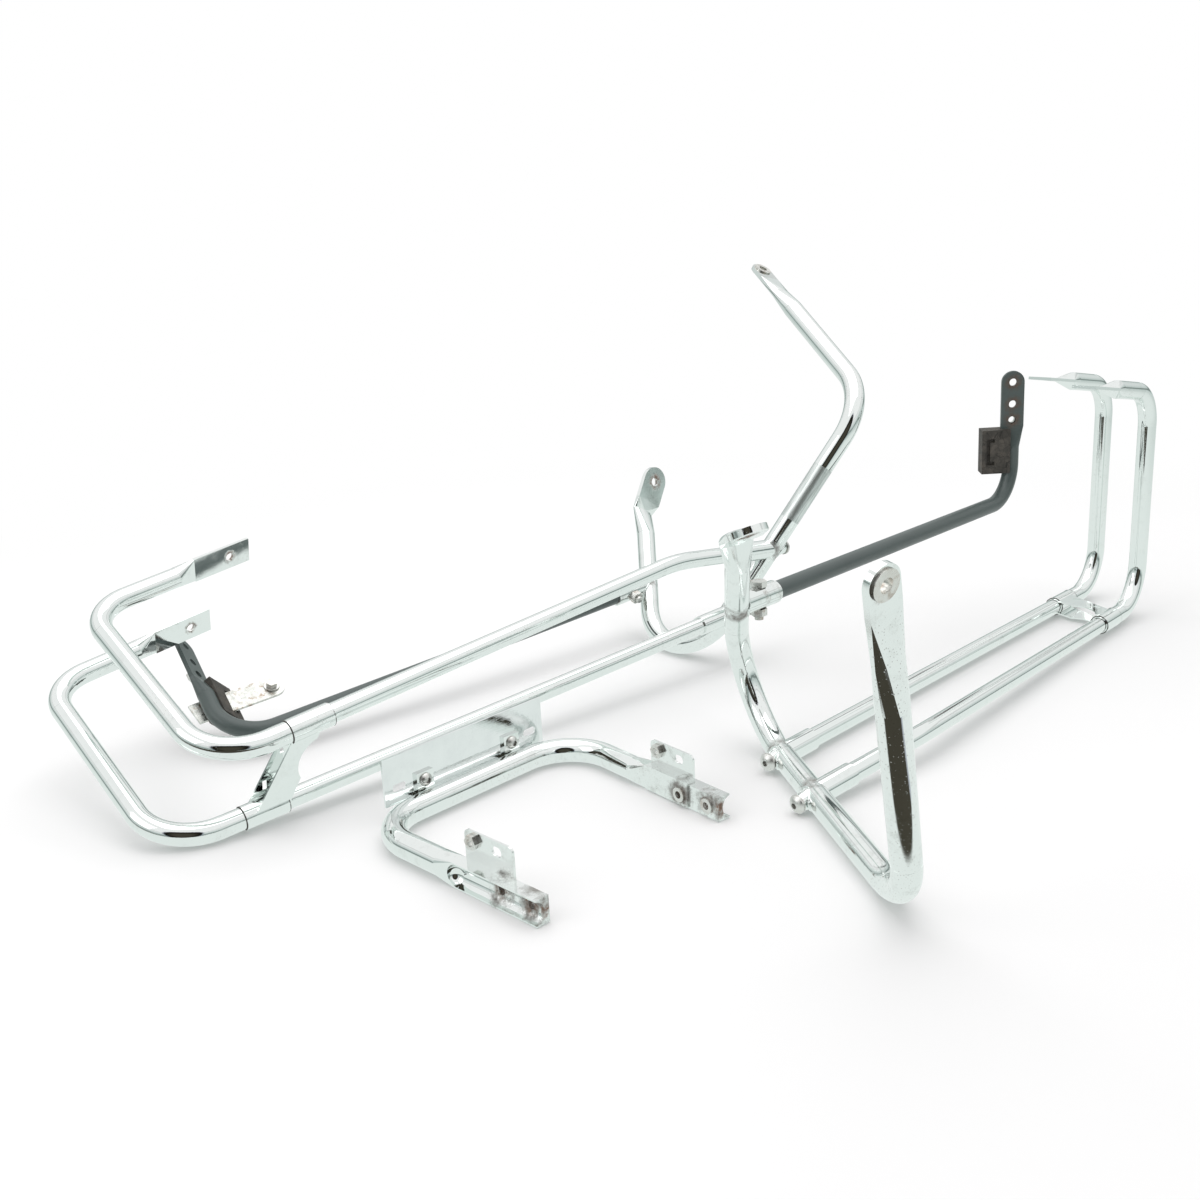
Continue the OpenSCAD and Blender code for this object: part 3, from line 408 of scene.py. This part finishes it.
def dress_side(side):
    band = None
    if side == "left":
        start, end = placed(side, [BASE_AT, BASE_AT + ALONG])
        band = (start, (end - start).normalized(), BAND_FROM, BAND_TO)
    hoop = chrome(side + "_hoop_chrome", placed(side, HOOP_HOLES), reach=0.010,
                  grimy=placed(side, HOOP_GRIME), band=band, wear=HOOP_WEAR[side])
    loops = chrome(side + "_loop_chrome", placed(side, LOOP_HOLES), reach=0.0065)
    rails = chrome(side + "_rail_chrome", wear=0.25)
    ends = placed(side, STAY_ENDS)
    wear = {
        "hoop": hoop,
        "mounting_tab": hoop,
        "long_loop": loops,
        "short_loop": loops,
        "long_rail": rails,
        "short_rail": rails,
        "ferrules": rails,
        "bosses": rails,
        "tie_plate": rails,
        "stay_socket": chrome(side + "_socket_chrome", ends, reach=0.010, wear=0.7),
        "stay": stay_black(side + "_stay_black", ends + placed(side, STAY_HOLES[side])),
        "bumper": aged_rubber(side + "_bumper_rubber"),
        "eye_bush": zinc(side + "_bush_zinc", tint=(0.68, 0.67, 0.63), stain=0.5),
        "socket_bolt": zinc(side + "_socket_bolt_zinc", stain=0.6),
        "socket_nut": zinc(side + "_socket_nut_zinc", stain=0.6),
        "rail_bolts": zinc(side + "_rail_bolt_zinc", tint=(0.72, 0.72, 0.70), stain=0.2),
        "rail_washers": zinc(side + "_washer_zinc"),
        "stay_nut": zinc(side + "_stay_nut_zinc"),
    }
    for part, material in wear.items():
        dress(side + "_" + part, material)


def dress_bow():
    rust = [Vector(p) * MM for p in BOW_RUST]
    dress("rear_bow", chrome("bow_chrome", rust, reach=0.008, grimy=rust, wear=0.5))
    dress("bow_tabs", chrome("tab_chrome", rust, reach=0.008, grimy=rust, wear=1.0, dull=0.10))
    dress("plate_lugs", chrome("lug_chrome", wear=0.7))
    dress("plate", mirror_plate("plate_mirror"))


def dress_fasteners():
    for part in ("channel_nuts", "tab_nuts", "plate_bolts", "plate_nuts",
                 "left_strap_bolt", "left_strap_nut"):
        dress(part, zinc(part + "_zinc"))
    dress("left_strap", zinc("left_strap_zinc", tint=(0.50, 0.51, 0.48), stain=0.8))


def paint_nodes():
    for side in ("right", "left"):
        dress_side(side)
    dress_bow()
    dress_fasteners()


# Weld beads, and dark seam rings of painted shade and dirt, each a ring that rides on the frame

def square_frame(way):
    """The way at length 1, and two more at right angles to it."""
    way = way.normalized()
    helper = Vector((0, 0, 1)) if abs(way.z) < 0.9 else Vector((1, 0, 0))
    e1 = way.cross(helper).normalized()
    return way, e1, way.cross(e1)


def ring_points(centre, way, radius, count=PATH_POINTS):
    way, e1, e2 = square_frame(way)
    turns = [2 * math.pi * k / count for k in range(count)]
    return [centre + radius * (math.cos(a) * e1 + math.sin(a) * e2) for a in turns]


def saddle_points(centre, way, radius, line_at, line_way, line_r):
    """Where a round bar of this radius along way meets a tube about the line, on the side way points to."""
    way = way.normalized()
    line_way = line_way.normalized()
    w = way - way.dot(line_way) * line_way
    points = []
    for p in ring_points(centre, way, radius):
        gap = p - line_at
        g = gap - gap.dot(line_way) * line_way
        a, b, c = w.dot(w), 2 * g.dot(w), g.dot(g) - line_r ** 2
        root = math.sqrt(max(b * b - 4 * a * c, 0.0))
        points.append(p + (-b + root) / (2 * a) * way)
    return points


def bead(name, points, radius, material, seed, waves=26):
    """A closed tube along the points, in metres, whose thickness swells and sinks like laid weld scales."""
    draw = random.Random(seed)
    phase = draw.random() * PHASE_SPAN
    verts, faces = [], []
    n = len(points)
    for k, p in enumerate(points):
        way = points[(k + 1) % n] - points[(k - 1) % n]
        scale = 2 * math.pi * k / n * waves + phase
        swell = BEAD_SWELL * abs(math.sin(scale / 2))
        size = radius * (BEAD_LEAST + swell + BEAD_VARIES * draw.uniform(-1, 1))
        verts += ring_points(p, way, size, SECTION_POINTS)
    for k in range(n):
        here, ahead = k * SECTION_POINTS, ((k + 1) % n) * SECTION_POINTS
        for j in range(SECTION_POINTS):
            beside = (j + 1) % SECTION_POINTS
            faces.append((here + j, here + beside, ahead + beside, ahead + j))
    mesh = bpy.data.meshes.new(name)
    mesh.from_pydata([tuple(v) for v in verts], [], faces)
    mesh.polygons.foreach_set("use_smooth", [True] * len(mesh.polygons))
    mesh.materials.append(material)
    obj = bpy.data.objects.new(name, mesh)
    bpy.context.scene.collection.objects.link(obj)
    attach(obj, "root")


def boss_welds(side, weld):
    for name, (along, way) in BOSSES.items():
        centre = BASE_AT + along * ALONG
        path = saddle_points(centre, way, BOSS_RING_R, BASE_AT, ALONG, HOOP_R + BOSS_BEAD_OUT)
        bead("%s_%s_boss_weld" % (side, name), placed(side, path), BOSS_BEAD_R * MM, weld, seed=3)


def socket_weld(side, weld):
    centre = BASE_AT + SOCKET_UP * ARM
    path = saddle_points(centre, SOCKET_WAY, SOCKET_RING_R, BASE_AT, ARM, HOOP_R + SOCKET_BEAD_OUT)
    bead(side + "_socket_weld", placed(side, path), SOCKET_BEAD_R * MM, weld, seed=5, waves=32)


def sleeve_seams(side, seam):
    # each seam ring is a dark bead of painted shade for the gap at the sleeve's end, with some dirt
    for name, (end, way) in RAIL_ENDS.items():
        for label, step in SEAM_STEPS:
            ring = ring_points(end + step * way, way, SEAM_RING_R)
            bead("%s_%s_sleeve_%s_seam" % (side, name, label), placed(side, ring), SEAM_BEAD_R * MM, seam,
                 seed=7, waves=9)


def details():
    weld = chrome("weld_chrome", wear=0.9, ripple=0.0006)
    # the seam rings' material is painted shade with some dirt
    seam = seam_shade_and_grime("seam_shade_and_grime")
    for side in ("right", "left"):
        boss_welds(side, weld)
        socket_weld(side, weld)
        sleeve_seams(side, seam)


# Studio: lengths in metres

FLOOR_REACH = 6.0
FLOOR_DROP = 0.0004
# The camera's direction and its right, along the ground
AHEAD = (0.7071, 0.7071, 0.0)
ASIDE = (0.7071, -0.7071, 0.0)
# Where the reflected table ends, measured ahead of the part's middle, and how softly
TABLE_EDGE = -0.50
TABLE_EDGE_SOFT = 0.012
# How far to the camera's right the dark ground beyond that edge reaches, and how softly
GROUND_SIDE = 0.19
GROUND_SOFT = 0.02
# The middle of the dark card behind the camera
CARD_WAY = Vector((-0.68, -0.68, 0.27)).normalized()
# How bright the room is to all rays but the camera's
ROOM_STRENGTH = 0.95
# Rectangular lights: name, place, aim, size and power
LIGHTS = (("top", (0.2, 0.3, 2.4), (0, 0, 0), (2.6, 2.6), 22),
          ("side", (-2.2, 0.8, 1.5), (0, 0, 0.1), (1.4, 1.4), 7))


def white_table(t, where, away):
    """What the camera sees: near-white, lit by the lights, and pure white far off."""
    tone = t.mix(t.noise(where, scale=3.0, detail=2.0), rgb(0.889, 0.882, 0.884), rgb(0.914, 0.907, 0.909))
    lit = t.make("ShaderNodeBsdfDiffuse", {"Color": tone})
    white = t.make("ShaderNodeEmission", {"Color": WHITE, "Strength": 1.0})
    return t.make("ShaderNodeMixShader", {0: t.span(away, 0.75, 1.5), 1: lit, 2: white})


def mirrored_table(t, where, away):
    """What the chrome mirrors: a pale table that ends in front of the part, and dark ground beyond it."""
    sheen = t.mix(t.span(away, 0.5, 2.6), rgb(0.84, 0.89, 0.87), rgb(0.62, 0.68, 0.66))
    edge = t.plus(t.measure("DOT_PRODUCT", where, AHEAD), t.stir(t.noise(where, scale=5.0, detail=2.0), 0.03))
    aside = t.measure("DOT_PRODUCT", where, ASIDE)
    past_edge = t.fade(edge, TABLE_EDGE - TABLE_EDGE_SOFT, TABLE_EDGE)
    within = t.fade(aside, GROUND_SIDE - GROUND_SOFT, GROUND_SIDE)
    fringe = t.window(aside, GROUND_SIDE - GROUND_SOFT, GROUND_SIDE, GROUND_SIDE, GROUND_SIDE + GROUND_SOFT)
    ground = t.mix(t.noise(where, scale=2.2, detail=3.0), rgb(0.030, 0.028, 0.020), rgb(0.085, 0.078, 0.060))
    sheen = t.mix(t.times(past_edge, within), sheen, ground)
    sheen = t.mix(t.times(t.times(past_edge, fringe), 0.6), sheen, rgb(0.16, 0.17, 0.30))
    return t.make("ShaderNodeEmission", {"Color": sheen, "Strength": 1.0})


def floor():
    mesh = bpy.data.meshes.new("floor")
    corners = [(x * FLOOR_REACH, y * FLOOR_REACH, 0) for x, y in ((-1, -1), (1, -1), (1, 1), (-1, 1))]
    mesh.from_pydata(corners, [], [(0, 1, 2, 3)])
    obj = bpy.data.objects.new("floor", mesh)
    bpy.context.scene.collection.objects.link(obj)
    obj.location.z = -FLOOR_DROP
    material, t = new_material("floor_white")
    where = t.position()
    away = t.measure("LENGTH", where)
    glossy = t.make("ShaderNodeLightPath", out="Is Glossy Ray")
    shown, mirrored = white_table(t, where, away), mirrored_table(t, where, away)
    t.show(t.make("ShaderNodeMixShader", {0: glossy, 1: shown, 2: mirrored}))
    mesh.materials.append(material)


def pale_tent(t, way, soft):
    """A pale tent with a dark band low down and a fainter one higher up."""
    up = t.make("ShaderNodeSeparateXYZ", {0: way}, out=2)
    height = t.plus(up, t.stir(soft, 0.22))
    tent = t.mix(t.span(height, 0.05, 0.5), rgb(0.52, 0.60, 0.58), WHITE)
    low = t.window(height, 0.015, 0.03, 0.10, 0.125)
    slit = t.window(height, 0.40, 0.41, 0.445, 0.455)
    tent = t.mix(t.times(low, 0.62), tent, rgb(0.05, 0.065, 0.058))
    return t.mix(t.times(slit, 0.30), tent, rgb(0.12, 0.15, 0.14))


def dark_card(t, way, soft, tent):
    """A dark oval card behind the camera, with a bluish fringe."""
    squashed = t.vector("NORMALIZE", t.vector("MULTIPLY", way, (1.0, 1.0, 0.8)))
    behind = t.measure("DOT_PRODUCT", squashed, tuple(CARD_WAY))
    card = t.span(t.plus(behind, t.stir(soft, 0.03)), 0.895, 0.91)
    fringe = t.window(behind, 0.885, 0.897, 0.90, 0.915)
    dark = t.mix(t.span(behind, 0.93, 0.99), rgb(0.012, 0.011, 0.008), rgb(0.060, 0.055, 0.042))
    return t.mix(t.times(fringe, 0.5), t.mix(card, tent, dark), rgb(0.10, 0.11, 0.20))


def world():
    """White to the camera. To all other rays it is the tent with the dark card."""
    scene = bpy.context.scene
    scene.world = bpy.data.worlds.new("studio")
    scene.world.use_nodes = True
    t = Tree(scene.world.node_tree)
    way = t.make("ShaderNodeTexCoord")
    soft = t.noise(way, scale=1.6, detail=2.0, rough=0.5)
    room = dark_card(t, way, soft, pale_tent(t, way, soft))
    seen = t.make("ShaderNodeLightPath", out="Is Camera Ray")
    inputs = {"Color": t.mix(seen, room, WHITE), "Strength": t.blend(seen, ROOM_STRENGTH, 1.0)}
    t.show(t.make("ShaderNodeBackground", inputs), "ShaderNodeOutputWorld")


def area_light(name, at, aim, size, power):
    data = bpy.data.lights.new(name, "AREA")
    data.shape = "RECTANGLE"
    data.size, data.size_y = size
    data.energy = power
    obj = bpy.data.objects.new(name, data)
    obj.location = at
    obj.rotation_euler = (Vector(aim) - Vector(at)).to_track_quat("-Z", "Y").to_euler()
    bpy.context.scene.collection.objects.link(obj)


def camera():
    level = math.cos(CAMERA_DIP)
    ahead = Vector((level * math.cos(CAMERA_YAW), level * math.sin(CAMERA_YAW), -math.sin(CAMERA_DIP)))
    side = Vector((math.sin(CAMERA_YAW), -math.cos(CAMERA_YAW), 0))
    up = side.cross(ahead)
    right = math.cos(CAMERA_ROLL) * side + math.sin(CAMERA_ROLL) * up
    above = -math.sin(CAMERA_ROLL) * side + math.cos(CAMERA_ROLL) * up
    turn = Matrix((right, above, -ahead)).transposed().to_4x4()
    data = bpy.data.cameras.new("camera")
    data.sensor_width = SENSOR_MM
    data.lens = SENSOR_MM * FOCAL_PX / FRAME_PX
    data.clip_start = CLIP_NEAR
    data.clip_end = CLIP_FAR
    obj = bpy.data.objects.new("camera", data)
    obj.matrix_world = Matrix.Translation(CAMERA_AT) @ turn
    bpy.context.scene.collection.objects.link(obj)
    bpy.context.scene.camera = obj


def studio():
    floor()
    world()
    camera()
    for light in LIGHTS:
        area_light(*light)
    settings = bpy.context.scene.view_settings
    settings.view_transform = "Standard"
    settings.look = "None"


paint_nodes()
details()
studio()
